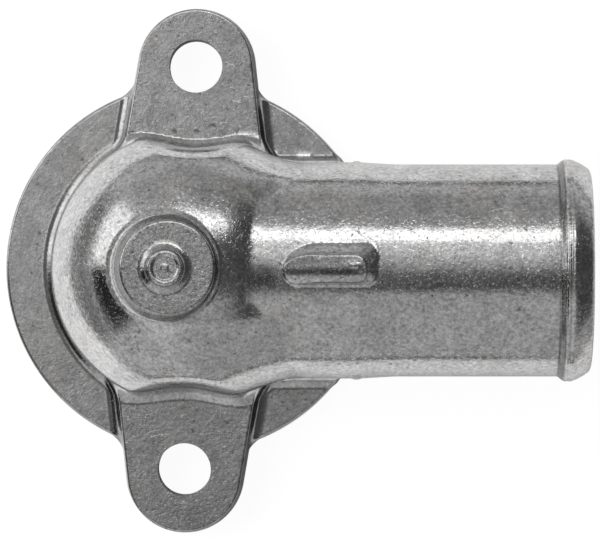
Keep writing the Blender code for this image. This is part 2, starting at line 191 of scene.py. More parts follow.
def neck_radius(x):
    """The neck's radius along its length: root, hose seat, bead with a fine groove, and nose."""
    tapered = np.clip((x - ROOT_END) / ROOT_TAPER, 0.0, 1.0)
    radius = NECK_ROOT_RADIUS - (NECK_ROOT_RADIUS - NECK_RADIUS) * tapered
    radius = radius + BEAD_RISE * np.clip((x - BEAD_START) / BEAD_FLANK, 0.0, 1.0)
    crest_start = BEAD_START + BEAD_FLANK
    radius = radius + BEAD_CREST * ease(x, crest_start, crest_start + BEAD_CREST_RUN)
    groove = (x - BEAD_GROOVE_AT) / BEAD_GROOVE_WIDTH
    radius = radius - BEAD_GROOVE_DEPTH * np.exp(-groove * groove)
    past = np.maximum(x - NOSE_START, 0.0)
    return radius - NOSE_TILT * past - NOSE_CURVE * past * past


def neck_form(x, y, z):
    radial = np.hypot(y - NECK_SHIFT, z - NECK_HEIGHT)
    probe = 0.05
    slope = (neck_radius(x + probe) - neck_radius(x - probe)) / (2 * probe)
    barrel = (radial - neck_radius(x)) / np.sqrt(1.0 + slope * slope)
    start = np.hypot(radial, x - NECK_START) - NECK_ROOT_RADIUS
    barrel = np.where(x < NECK_START, start, barrel)
    flash = np.exp(-((x - FLASH_AT) / FLASH_LENGTH) ** 4 - (z - NECK_HEIGHT) ** 2)
    return rounded_cut(barrel - FLASH_RISE * flash, x - NECK_REACH, NOSE_ROUND)


def web_form(x, y, z):
    """The wall under the neck, down to the flange."""
    side = np.abs(y - NECK_SHIFT) - NECK_ROOT_RADIUS
    end = np.hypot(x, y) - DISC_RADIUS + WEB_RIM_LAND
    return np.maximum(np.maximum(side, end), np.maximum(z - NECK_HEIGHT, -x))


print("neck radius at root, seat and bead:", [round(float(neck_radius(at)), 2) for at in (20, 50, 65.6)])

# %% [markdown]
# # Room for the bolt heads
#
# The bulb is wider than the space between the bolts, so its wall is scooped out beside each of them.
# In the field that is a cut by an upright cylinder round the bolt, with the two corners rounded.

# %% Scallops
BOLT_HEAD_ROOM = 14.9
SCALLOP_ROUND = 2.6


def bolt_place(side):
    """The axis of one bolt hole as (x, y)."""
    return (side * BOLT_OFFSET * math.sin(BOLT_CLOCKING), side * BOLT_OFFSET * math.cos(BOLT_CLOCKING))


def clear_of_bolts(form, x, y):
    for side in (1, -1):
        bolt_x, bolt_y = bolt_place(side)
        form = rounded_cut(form, BOLT_HEAD_ROOM - np.hypot(x - bolt_x, y - bolt_y), SCALLOP_ROUND)
    return form


# %% [markdown]
# # Blank boss and hose stop
#
# The round boss on the dome is where another version of the casting is drilled for a sensor. This one is
# left blank: a drafted disc, and on it a smaller button with a dished top and a centre pip. The pad on
# the neck is the stop that the hose is pushed up to. It is a slimmer barrel that
# pokes out of the neck, cut off square towards the hose and rounded away towards the bulb.

# %% Boss and stop
BOSS_X = -3.15
BOSS_Y = -0.03
BOSS_TOP = 47.4
BOSS_RADIUS = 8.1
BOSS_DRAFT = math.tan(math.radians(22.0))
BOSS_ROUND = 0.35
BOSS_FILLET = 0.7
BUTTON_RISE = 1.28
BUTTON_RADIUS = 2.95
BUTTON_SHIFT = -0.4
BUTTON_DRAFT = math.tan(math.radians(18.0))
BUTTON_ROUND = 0.22
BUTTON_FOOT = 1.5
DISH_RADIUS = 2.2
DISH_DEPTH = 0.3
PIP_RADIUS = 0.65
PIP_RISE = 0.14

STOP_START = 16.5
STOP_END = 32.9
STOP_UPPER = 3.9
STOP_LOWER = -3.1
STOP_TIP_UPPER = 1.0
STOP_TIP_LOWER = -0.9
STOP_FOOT = 43.4
STOP_TOP = 45.55
STOP_CROWN = 7.5
STOP_CROWN_START = 0.25
STOP_UPPER_RUN = 6.4
STOP_LOWER_RUN = 2.6
STOP_RAMP = 0.13
STOP_SIDE_SLOPE = math.tan(math.radians(40.0))
STOP_LOWER_SLOPE = math.tan(math.radians(22.0))
STOP_END_SLOPE = math.tan(math.radians(44.0))
STOP_ROUND = 0.14
STOP_MOUND = (28.9, 0.5)
STOP_MOUND_RISE = 0.16
STOP_MOUND_WIDTH = 0.55
STOP_FILLET = 0.3
STOP_CORNER = 1.6


def boss_form(x, y, z):
    radial = np.hypot(x - BOSS_X, y - BOSS_Y)
    wall = radial - BOSS_RADIUS - (BOSS_TOP - z) * BOSS_DRAFT
    disc = rounded_cut(wall, z - BOSS_TOP, BOSS_ROUND)
    disc = np.maximum(disc, BULB_SPRING + BULB_RISE / 2 - z)
    radial = np.hypot(x - BOSS_X - BUTTON_SHIFT, y - BOSS_Y)
    wall = radial - BUTTON_RADIUS - (BOSS_TOP + BUTTON_RISE - z) * BUTTON_DRAFT
    dish = DISH_DEPTH * ease(radial, DISH_RADIUS + 0.25, DISH_RADIUS - 0.25)
    pip = PIP_RISE * ease(radial, PIP_RADIUS + 0.2, PIP_RADIUS - 0.3)
    button = rounded_cut(wall, z - BOSS_TOP - BUTTON_RISE + dish - pip, BUTTON_ROUND)
    button = np.maximum(button, BOSS_TOP - 2.0 - z)
    return hollow_join(disc, button, BUTTON_FOOT)


def stop_side(x, foot, tip, run):
    """How far out one side of the stop lies, at its foot: straight, then drawn in to the tip."""
    past = np.clip((STOP_START + run - x) / run, 0.0, 0.98)
    bow = (1.0 - np.sqrt(1.0 - past * past)) / (1.0 - math.sqrt(1.0 - 0.98 ** 2))
    return foot + (tip - foot) * bow


def stop_form(x, y, z):
    above = z - STOP_FOOT
    level = math.hypot(1.0, STOP_SIDE_SLOPE)
    upper = (y - stop_side(x, STOP_UPPER, STOP_TIP_UPPER, STOP_UPPER_RUN) + above * STOP_SIDE_SLOPE) / level
    steep = math.hypot(1.0, STOP_LOWER_SLOPE)
    lower = (stop_side(x, STOP_LOWER, STOP_TIP_LOWER, STOP_LOWER_RUN) - y + above * STOP_LOWER_SLOPE) / steep
    far_end = (x - STOP_END + above * STOP_END_SLOPE) / math.hypot(1.0, STOP_END_SLOPE)
    outline = rounded_cut(rounded_cut(upper, far_end, STOP_CORNER), lower, STOP_CORNER)
    outline = np.maximum(outline, STOP_START - x)
    fall = STOP_RAMP * np.maximum(STOP_START + STOP_UPPER_RUN - x, 0.0)
    across = np.minimum(y - STOP_CROWN_START, 0.0)
    from_mound = np.hypot((x - STOP_MOUND[0]) / 2.0, y - STOP_MOUND[1]) / STOP_MOUND_WIDTH
    mound = STOP_MOUND_RISE * np.exp(-from_mound * from_mound)
    crown = np.hypot(across, z + fall - STOP_TOP + STOP_CROWN) - STOP_CROWN - mound
    return np.maximum(rounded_cut(outline, crown, STOP_ROUND), NECK_HEIGHT + 10.0 - z)


# %% [markdown]
# # The casting as it leaves the die
#
# The forms are joined in the order in which a pattern maker would build them up. The cove round
# the bulb is larger on the thin flange than on the thick ears. On the upper ear it dips under the face
# before it rises, which leaves a faint edge there. The field runs on below the flange face: that is
# the stock which the mill takes off later.

# %% All forms together
JOINT_FILLET = 1.0
COVE_DIP = 0.16
DIP_START = 9.0
DIP_END = 6.0


def casting(x, y, z):
    """The distance to the cast skin, in millimetres, less than zero inside the metal."""
    round_ears = PLAN_CORNER + (FLANGE_COVE - PLAN_CORNER) * ease(z, DISC_THICKNESS - 1.5, DISC_THICKNESS - 0.4)
    base = hollow_join(disc_form(x, y, z), ear_form(x, y, z, 1, 0.0), round_ears)
    base = hollow_join(base, ear_form(x, y, z, -1, LOWER_TIP_SHIFT), round_ears)
    past_sharp = np.maximum(y - VALLEY_SHARP_UP, -y - VALLEY_SHARP_DOWN)
    valley = VALLEY_FILLET + (VALLEY_ENDS - VALLEY_FILLET) * ease(past_sharp, 0.0, 5.0)
    body = hollow_join(bulb_form(x, y, z), neck_form(x, y, z), valley)
    body = hollow_join(body, web_form(x, y, z), JOINT_FILLET)
    body = clear_of_bolts(body, x, y)
    cove = WALL_COVE - (WALL_COVE - EAR_COVE) * ease(z, EAR_THICKNESS - 2.0, EAR_THICKNESS - 0.5)
    dip = COVE_DIP * ease(x, DIP_START, DIP_END) * ease(y, 18.0, 20.0) * ease(z, 8.0, 9.5)
    whole = np.minimum(hollow_join(body, base + dip, cove), base)
    whole = hollow_join(whole, boss_form(x, y, z), BOSS_FILLET)
    return hollow_join(whole, stop_form(x, y, z), STOP_FILLET)


print("metal above the thermostat axis reaches", BOSS_TOP + BUTTON_RISE, "mm")

# %% [markdown]
# # From the field to a mesh
#
# The field is sampled on a fine grid. Each grid cell that the skin passes through gets one point, the
# mean of the places where the skin crosses the cell's edges, and each grid edge that the skin crosses
# gets a quad between the four cells round it. The points are then slid on to the exact surface along the
# field's slope, the mesh is thinned where it is flat, and the points are slid once more.

# %% Sampling the field
STEP = 0.27
STOCK = 1.0
MARGIN = 1.3
lowest = np.array([-DISC_RADIUS, -BOLT_OFFSET - EAR_TIP_RADIUS - LOWER_TIP_SHIFT, -STOCK]) - MARGIN
highest = np.array([NECK_REACH, BOLT_OFFSET + EAR_TIP_RADIUS, BOSS_TOP + BUTTON_RISE]) + MARGIN
counts = np.ceil((highest - lowest) / STEP).astype(int)
axes = [lowest[k] + STEP * np.arange(counts[k]) for k in range(3)]


def blank(x, y, z):
    """The cast skin, with the stock below the flange face closed by a plane."""
    return np.maximum(casting(x, y, z), -STOCK - z)


field = np.empty(counts, np.float32)
SLAB = 24
for first in range(0, counts[0], SLAB):
    x, y, z = np.meshgrid(axes[0][first:first + SLAB], axes[1], axes[2], indexing="ij", sparse=True)
    field[first:first + SLAB] = blank(x, y, z)
print("grid", list(counts), "smallest value", round(float(field.min()), 2))


# %% Points and quads
def surface_net(values):
    """Points in grid units and quads of the zero surface of a sampled field."""
    inside = values < 0.0
    cells = tuple(n - 1 for n in values.shape)
    corner_sum = np.zeros(cells, np.uint8)
    for i in (0, 1):
        for j in (0, 1):
            for k in (0, 1):
                corner_sum += inside[i:i + cells[0], j:j + cells[1], k:k + cells[2]]
    crossed = np.argwhere((corner_sum > 0) & (corner_sum < 8))
    number = np.full(cells, -1, np.int32)
    number[tuple(crossed.T)] = np.arange(len(crossed))
    total = np.zeros((len(crossed), 3))
    hits = np.zeros(len(crossed))
    for axis in range(3):
        others = [a for a in range(3) if a != axis]
        for u in (0, 1):
            for v in (0, 1):
                start = crossed.copy()
                start[:, others[0]] += u
                start[:, others[1]] += v
                end = start.copy()
                end[:, axis] += 1
                at_start = values[tuple(start.T)]
                at_end = values[tuple(end.T)]
                hit = (at_start < 0) != (at_end < 0)
                share = np.where(hit, at_start / np.where(hit, at_start - at_end, 1.0), 0.0)
                place = start.astype(float)
                place[:, axis] += share
                total += place * hit[:, None]
                hits += hit
    points = total / hits[:, None]
    quads = []
    for axis in range(3):
        one, two = [(1, 2), (2, 0), (0, 1)][axis]
        ahead = np.roll(inside, -1, axis)
        flips = np.argwhere(inside != ahead)
        for a in range(3):
            flips = flips[(flips[:, a] > 0) & (flips[:, a] < values.shape[a] - 1)]
        corners = []
        for u, v in ((0, 0), (1, 0), (1, 1), (0, 1)):
            cell = flips.copy()
            cell[:, one] -= u
            cell[:, two] -= v
            corners.append(number[tuple(cell.T)])
        ring = np.stack(corners, 1)
        turned = inside[tuple(flips.T)]
        ring[turned] = ring[turned][:, ::-1]
        quads.append(ring)
    return points, np.concatenate(quads)[:, ::-1]


points, quads = surface_net(field)
points = lowest + STEP * points
del field
print(len(points), "points and", len(quads), "quads")


# %% Sliding points on to the skin
def slope_at(places):
    """The field's gradient, which points straight out of the metal."""
    reach = 0.02
    result = np.empty_like(places)
    for axis in range(3):
        ahead = places.copy()
        behind = places.copy()
        ahead[:, axis] += reach
        behind[:, axis] -= reach
        result[:, axis] = (blank(*ahead.T) - blank(*behind.T)) / (2 * reach)
    return result


def slide_to_skin(places, rounds, furthest):
    """Move points along the field's slope until they lie on the skin."""
    for _ in range(rounds):
        slope = slope_at(places)
        steep = np.maximum((slope * slope).sum(1), 0.05)
        move = -(blank(*places.T) / steep)[:, None] * slope
        length = np.maximum(np.linalg.norm(move, axis=1), 1e-9)
        places = places + move * np.minimum(1.0, furthest / length)[:, None]
    return places


points = slide_to_skin(points, 2, STEP / 2)
print("largest distance to the skin", round(float(np.abs(blank(*points.T)).max()), 4), "mm")


# %% A Blender object from it
def use_only(made):
    """Deselect everything, then select one object and make it the active one."""
    bpy.ops.object.select_all(action="DESELECT")
    made.select_set(True)
    bpy.context.view_layer.objects.active = made


CORNER_X = low.x / MM + DISC_RADIUS
CORNER_Y = high.y / MM - BOLT_OFFSET * math.cos(BOLT_CLOCKING) - EAR_TIP_RADIUS
to_world = np.array([CORNER_X, CORNER_Y, 0.0])

mesh = bpy.data.meshes.new("cast_housing")
mesh.from_pydata(((points + to_world) * MM).tolist(), [], quads.tolist())
housing = bpy.data.objects.new("cast_housing", mesh)
bpy.context.scene.collection.objects.link(housing)
use_only(housing)
print("thermostat axis at", [round(float(v), 3) for v in to_world], "mm")

# %% Thinning it where it is flat
SKIN_TRIANGLES = 170000
bpy.ops.object.mode_set(mode="EDIT")
bpy.ops.mesh.select_all(action="SELECT")
bpy.ops.mesh.quads_convert_to_tris(quad_method="SHORTEST_DIAGONAL")
bpy.ops.object.mode_set(mode="OBJECT")
thin = housing.modifiers.new("thin", "DECIMATE")
thin.ratio = min(1.0, SKIN_TRIANGLES / len(mesh.polygons))
bpy.ops.object.modifier_apply(modifier=thin.name)


def read_points(made):
    """The object's points in the casting's own frame, in millimetres."""
    flat = np.empty(len(made.data.vertices) * 3)
    made.data.vertices.foreach_get("co", flat)
    return flat.reshape(-1, 3) / MM - to_world


def write_points(made, places):
    made.data.vertices.foreach_set("co", ((places + to_world) * MM).ravel())
    made.data.update()


points = slide_to_skin(read_points(housing), 2, STEP / 3)
write_points(housing, points)
print(len(housing.data.polygons), "triangles on the casting")

# %% [markdown]
# # Machining
#
# The casting goes to the mill for the surfaces that have to be true: the flange face, the stepped seat
# for the thermostat's rim, and the two bolt holes. The space over the thermostat and the way through the
# neck are left open by cores in the die. All of them are cut from the mesh with ordinary
# cylinders and a Boolean, and the cut faces take the cutter's material.

# %% Materials that the cutters carry
SKIN = bpy.data.materials.new("cast_aluminium_skin")
MILLED = bpy.data.materials.new("milled_aluminium")
CORED = bpy.data.materials.new("cored_aluminium")
housing.data.materials.append(SKIN)


# %% Cutters
def place(x, y, z):
    """A place in metres from one in the casting's own millimetres."""
    return tuple((np.array([x, y, z]) + to_world) * MM)


def cut_out(cutter, material):
    """Cut a shape out of the casting and remove it."""
    cutter.data.materials.append(material)
    use_only(housing)
    change = housing.modifiers.new("cut", "BOOLEAN")
    change.operation = "DIFFERENCE"
    change.object = cutter
    change.material_mode = "TRANSFER"
    bpy.ops.object.modifier_apply(modifier=change.name)
    bpy.data.objects.remove(cutter)


def drill(radius, start, end, axis="Z", steps=128):
    """A round cutter from one height to another, along Z or X."""
    bpy.ops.object.select_all(action="DESELECT")
    turn = (0.0, math.pi / 2, 0.0) if axis == "X" else (0.0, 0.0, 0.0)
    middle = [(a + b) / 2 for a, b in zip(start, end)]
    depth = max(abs(a - b) for a, b in zip(start, end))
    bpy.ops.mesh.primitive_cylinder_add(
        vertices=steps, radius=radius * MM, depth=depth * MM, location=place(*middle), rotation=turn
    )
    return bpy.context.object


SEAT_RADIUS = 27.3
SEAT_DEPTH = 3.0
CHAMBER_RADIUS = 18.0
CHAMBER_RISE = 17.0
BORE_RADIUS = 15.4
BOLT_HOLE_RADIUS = 4.7
PAST = 5.0

for side in (1, -1):
    bolt_x, bolt_y = bolt_place(side)
    cutter = drill(BOLT_HOLE_RADIUS, (bolt_x, bolt_y, -PAST), (bolt_x, bolt_y, EAR_THICKNESS + PAST))
    cut_out(cutter, MILLED)
cut_out(drill(SEAT_RADIUS, (0, 0, -PAST), (0, 0, SEAT_DEPTH)), MILLED)
print("bolt holes and seat cut:", len(housing.data.polygons), "faces")

# %% The space over the thermostat and the bore
bpy.ops.object.select_all(action="DESELECT")
bpy.ops.mesh.primitive_uv_sphere_add(
    segments=128, ring_count=64, radius=CHAMBER_RADIUS * MM, location=place(0, 0, NECK_HEIGHT),
    scale=(1.0, 1.0, CHAMBER_RISE / CHAMBER_RADIUS)
)
chamber = bpy.context.object
bpy.ops.object.mode_set(mode="EDIT")
bpy.ops.mesh.select_all(action="SELECT")
bpy.ops.mesh.bisect(plane_co=place(0, 0, NECK_HEIGHT), plane_no=(0, 0, 1), use_fill=False, clear_inner=True)
bpy.ops.mesh.select_all(action="DESELECT")
bpy.ops.mesh.select_non_manifold()
bpy.ops.mesh.extrude_region_move(TRANSFORM_OT_translate={"value": (0, 0, -(NECK_HEIGHT + PAST) * MM)})
bpy.ops.mesh.edge_face_add()
bpy.ops.mesh.select_all(action="SELECT")
bpy.ops.mesh.normals_make_consistent(inside=False)
bpy.ops.object.mode_set(mode="OBJECT")
cut_out(chamber, CORED)
cutter = drill(BORE_RADIUS, (0, NECK_SHIFT, NECK_HEIGHT), (NECK_REACH + PAST, NECK_SHIFT, NECK_HEIGHT), "X")
cut_out(cutter, CORED)
print("water way cut:", len(housing.data.polygons), "faces")

# %% Facing the flange
CUT_EXACTNESS = 0.0001 * MM
use_only(housing)
bpy.ops.object.mode_set(mode="EDIT")
bpy.ops.mesh.select_all(action="SELECT")
bpy.ops.mesh.bisect(plane_co=(0, 0, 0), plane_no=(0, 0, 1), use_fill=True, clear_inner=True, threshold=CUT_EXACTNESS)
bpy.ops.object.mode_set(mode="OBJECT")
for face in housing.data.polygons:
    if abs(face.center.z) < 0.001 * MM and face.normal.z < -0.9:
        face.material_index = housing.data.materials.find(MILLED.name)
print("faced:", len(housing.data.polygons), "faces")

# %% [markdown]
# # Smooth shading that follows the real surface
#
# Polished reflections show every facet, even on a dense mesh. The field knows the true direction
# of the surface at each point, so those directions are given to the mesh as its own normals. The
# machined faces keep flat shading at their edges.

# %% Normals from the field
INSET_SHARE = 0.1
housing.data.update()
bpy.ops.object.shade_smooth_by_angle(angle=math.radians(32))
points = read_points(housing)
on_skin = np.abs(blank(*points.T)) < 0.01
count = len(housing.data.loops)
loop_points = np.empty(count, np.int64)
housing.data.loops.foreach_get("vertex_index", loop_points)
loop_normals = np.zeros(count * 3, np.float32)
housing.data.corner_normals.foreach_get("vector", loop_normals)
loop_normals = loop_normals.reshape(-1, 3)
face_of_loop = np.repeat(np.arange(len(housing.data.polygons)), [f.loop_total for f in housing.data.polygons])
corners = points[loop_points]
corners_of_face = np.bincount(face_of_loop)
middles = np.stack([np.bincount(face_of_loop, corners[:, axis]) / corners_of_face for axis in range(3)], 1)
from_field = slope_at(corners + (middles[face_of_loop] - corners) * INSET_SHARE)
from_field /= np.maximum(np.linalg.norm(from_field, axis=1), 1e-9)[:, None]
face_normals = np.empty(len(housing.data.polygons) * 3, np.float32)
housing.data.polygon_normals.foreach_get("vector", face_normals)
face_normals = face_normals.reshape(-1, 3)[face_of_loop]
is_cast = np.array([f.material_index == 0 for f in housing.data.polygons])[face_of_loop]
agrees = (face_normals * from_field).sum(1) > 0.8
use_field = is_cast & on_skin[loop_points] & agrees
loop_normals[use_field] = from_field[use_field]
housing.data.normals_split_custom_set([Vector(n) for n in loop_normals])
print("corners that follow the field:", int(use_field.sum()), "of", count)

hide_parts("housing")
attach(housing, "root")

# %% [markdown]
# # Bare metal
#
# Cast aluminium is a dull mirror. Its colour is an even grey, and what looks like pattern is its
# skin: fine grains that break up the reflections, blotches where the melt chilled first, tiny pits
# and bright nicks from handling.

# %% Node helpers
def add_node(tree, kind, **settings):
    """A node of this kind. Settings with a property's name set that property."""
    node = tree.nodes.new(kind)
    for name, value in settings.items():
        if name in node.bl_rna.properties:
            setattr(node, name, value)
    return node


def put(tree, value, socket):
    """Link a socket to another, or write a plain value into it."""
    if hasattr(value, "is_output"):
        tree.links.new(value, socket)
    else:
        socket.default_value = value


def calc(tree, operation, first, second=0.0, third=0.0, clamp=False):
    """One Math node."""
    node = tree.nodes.new("ShaderNodeMath")
    node.operation = operation
    node.use_clamp = clamp
    for value, socket in zip((first, second, third), node.inputs):
        put(tree, value, socket)
    return node.outputs[0]


def noise(tree, place_socket, scale, detail=2.0, roughness=0.5, distortion=0.0):
    node = tree.nodes.new("ShaderNodeTexNoise")
    put(tree, place_socket, node.inputs["Vector"])
    node.inputs["Scale"].default_value = scale
    node.inputs["Detail"].default_value = detail
    node.inputs["Roughness"].default_value = roughness
    node.inputs["Distortion"].default_value = distortion
    return node.outputs["Fac"]


def spread(tree, value, from_low, from_high, to_low, to_high):
    """Map Range, clamped."""
    node = tree.nodes.new("ShaderNodeMapRange")
    for number, socket in zip((value, from_low, from_high, to_low, to_high), node.inputs):
        put(tree, number, socket)
    return node.outputs[0]


# %% The granular skin as a node group
def make_skin_group():
    group = bpy.data.node_groups.new("granular_skin", "ShaderNodeTree")
    face = group.interface
    face.new_socket("Place", in_out="INPUT", socket_type="NodeSocketVector")
    face.new_socket("Coarse", in_out="INPUT", socket_type="NodeSocketFloat")
    for name in ("Shade", "Warm", "Dull", "Relief"):
        face.new_socket(name, in_out="OUTPUT", socket_type="NodeSocketFloat")
    given = group.nodes.new("NodeGroupInput").outputs
    result = group.nodes.new("NodeGroupOutput")
    where = given["Place"]
    coarse = given["Coarse"]
    blotches = noise(group, where, 240.0, 4.0, 0.65, 0.6)
    patches = noise(group, where, 75.0, 2.0, 0.5)
    grain = noise(group, where, 1500.0, 3.0, 0.75)
    pits = noise(group, where, 1150.0, 1.0, 0.5)
    pit = spread(group, pits, 0.25, 0.34, 1.0, 0.0)
    high = noise(group, where, 1750.0, 1.0, 0.5, 0.4)
    nick = spread(group, high, 0.63, 0.72, 0.0, 1.0)
    hollow = spread(group, high, 0.29, 0.38, 1.0, 0.0)
    speckle = calc(group, "SUBTRACT", grain, 0.5)
    speckle = calc(group, "MULTIPLY", speckle, spread(group, coarse, 0.0, 1.0, 0.9, 2.0))
    shade = calc(group, "ADD", spread(group, blotches, 0.28, 0.72, 0.80, 1.2), speckle)
    shade = calc(group, "SUBTRACT", shade, calc(group, "MULTIPLY", pit, 0.35))
    shade = calc(group, "ADD", shade, calc(group, "MULTIPLY", nick, 0.25))
    warm = spread(group, noise(group, where, 110.0, 3.0, 0.6, 1.0), 0.5, 0.68, 0.0, 1.0)
    dull = calc(group, "ADD", spread(group, patches, 0.35, 0.65, 0.12, 0.19), calc(group, "MULTIPLY", pit, 0.2))
    dull = calc(group, "ADD", dull, spread(group, coarse, 0.0, 1.0, 0.02, 0.0))
    sparse = calc(group, "SUBTRACT", nick, calc(group, "ADD", hollow, pit))
    sparse = calc(group, "MULTIPLY", sparse, spread(group, coarse, 0.0, 1.0, 0.3, 1.0))
    relief = calc(group, "ADD", calc(group, "MULTIPLY", grain, 0.6), calc(group, "MULTIPLY", blotches, 0.8))
    relief = calc(group, "ADD", relief, calc(group, "MULTIPLY", sparse, 0.5))
    for value, name in ((shade, "Shade"), (warm, "Warm"), (dull, "Dull"), (relief, "Relief")):
        group.links.new(value, result.inputs[name])
    return group


SKIN_GROUP = make_skin_group()
print("group", SKIN_GROUP.name, "with", len(SKIN_GROUP.nodes), "nodes")


# %% One mark as a node group
def vector_math(tree, operation, first, second=None):
    """One Vector Math node."""
    node = tree.nodes.new("ShaderNodeVectorMath")
    node.operation = operation
    put(tree, first, node.inputs[0])
    if second is not None:
        put(tree, second, node.inputs["Scale"] if operation == "SCALE" else node.inputs[1])
    return node.outputs["Value" if operation in ("DOT_PRODUCT", "LENGTH") else "Vector"]


def make_mark_group():
    """1 within half a width of a short line, seen from above, and 0 away from it."""
    group = bpy.data.node_groups.new("mark", "ShaderNodeTree")
    face = group.interface
    for name in ("Place", "Start", "Direction"):
        face.new_socket(name, in_out="INPUT", socket_type="NodeSocketVector")
    for name in ("Length", "Half Width"):
        face.new_socket(name, in_out="INPUT", socket_type="NodeSocketFloat")
    face.new_socket("Mark", in_out="OUTPUT", socket_type="NodeSocketFloat")
    given = group.nodes.new("NodeGroupInput").outputs
    result = group.nodes.new("NodeGroupOutput")
    flat = vector_math(group, "MULTIPLY", given["Place"], (1.0, 1.0, 0.0))
    offset = vector_math(group, "SUBTRACT", flat, given["Start"])
    along = vector_math(group, "DOT_PRODUCT", offset, given["Direction"])
    along = calc(group, "MINIMUM", calc(group, "MAXIMUM", along, 0.0), given["Length"])
    nearest = vector_math(group, "SCALE", given["Direction"], along)
    away = vector_math(group, "LENGTH", vector_math(group, "SUBTRACT", offset, nearest))
    wide = calc(group, "MULTIPLY", given["Half Width"], 1.5)
    narrow = calc(group, "MULTIPLY", given["Half Width"], 0.5)
    group.links.new(spread(group, away, narrow, wide, 1.0, 0.0), result.inputs["Mark"])
    return group


MARK_GROUP = make_mark_group()
SCRATCHES = [
    ((6.3, 36.5), (7.9, 35.8), 0.11), ((9.5, 30.3), (10.4, 30.3), 0.09), ((7.6, 29.6), (9.0, 29.4), 0.09),
    ((52.1, 9.6), (54.4, 10.2), 0.11), ((54.4, 9.6), (55.9, 9.55), 0.12), ((54.5, 10.6), (55.9, 10.2), 0.09),
    ((57.3, -2.1), (59.9, -4.8), 0.07), ((-7.0, -29.8), (-4.9, -29.4), 0.08),
]
# Dark marks. The two along y = 20.1, in the cove beside the upper ear, are painted shade that darkens a mirrored
# softbox line. The long one along the hose stop's crown is a painted dark reflection. The others are stains.
STAINS_AND_PAINTED_SHADE = [
    ((-2.8, 24.3), (-2.6, 24.3), 0.38), ((1.0, 24.3), (1.5, 24.1), 0.3), ((3.7, 25.4), (4.2, 25.3), 0.34),
    ((-10.6, 23.9), (-10.2, 24.0), 0.4), ((-14.8, 9.9), (-14.7, 9.8), 0.22),
    ((FLASH_AT - 0.5, 18.9), (FLASH_AT + 0.5, 18.9), 0.3), ((FLASH_AT - 0.5, -18.9), (FLASH_AT + 0.5, -18.9), 0.3),
    ((12.6, -1.0), (13.6, -1.0), 2.0), ((17.6, -0.75), (28.6, -0.75), 0.5), ((14.5, 20.1), (18.4, 20.1), 0.6),
    ((22.0, 20.1), (26.0, 20.1), 0.6),
]


def marks(tree, where, lines):
    """The strongest of several marks."""
    strongest = None
    for start, end, half_width in lines:
        node = tree.nodes.new("ShaderNodeGroup")
        node.node_tree = MARK_GROUP
        tree.links.new(where, node.inputs["Place"])
        run = Vector(end) - Vector(start)
        node.inputs["Start"].default_value = ((start[0] + CORNER_X) * MM, (start[1] + CORNER_Y) * MM, 0.0)
        node.inputs["Direction"].default_value = (*run.normalized(), 0.0)
        node.inputs["Length"].default_value = run.length * MM
        node.inputs["Half Width"].default_value = half_width * MM
        mark = node.outputs["Mark"]
        strongest = mark if strongest is None else calc(tree, "MAXIMUM", strongest, mark)
    return strongest


print(len(SCRATCHES), "scratches and", len(STAINS_AND_PAINTED_SHADE), "stains")


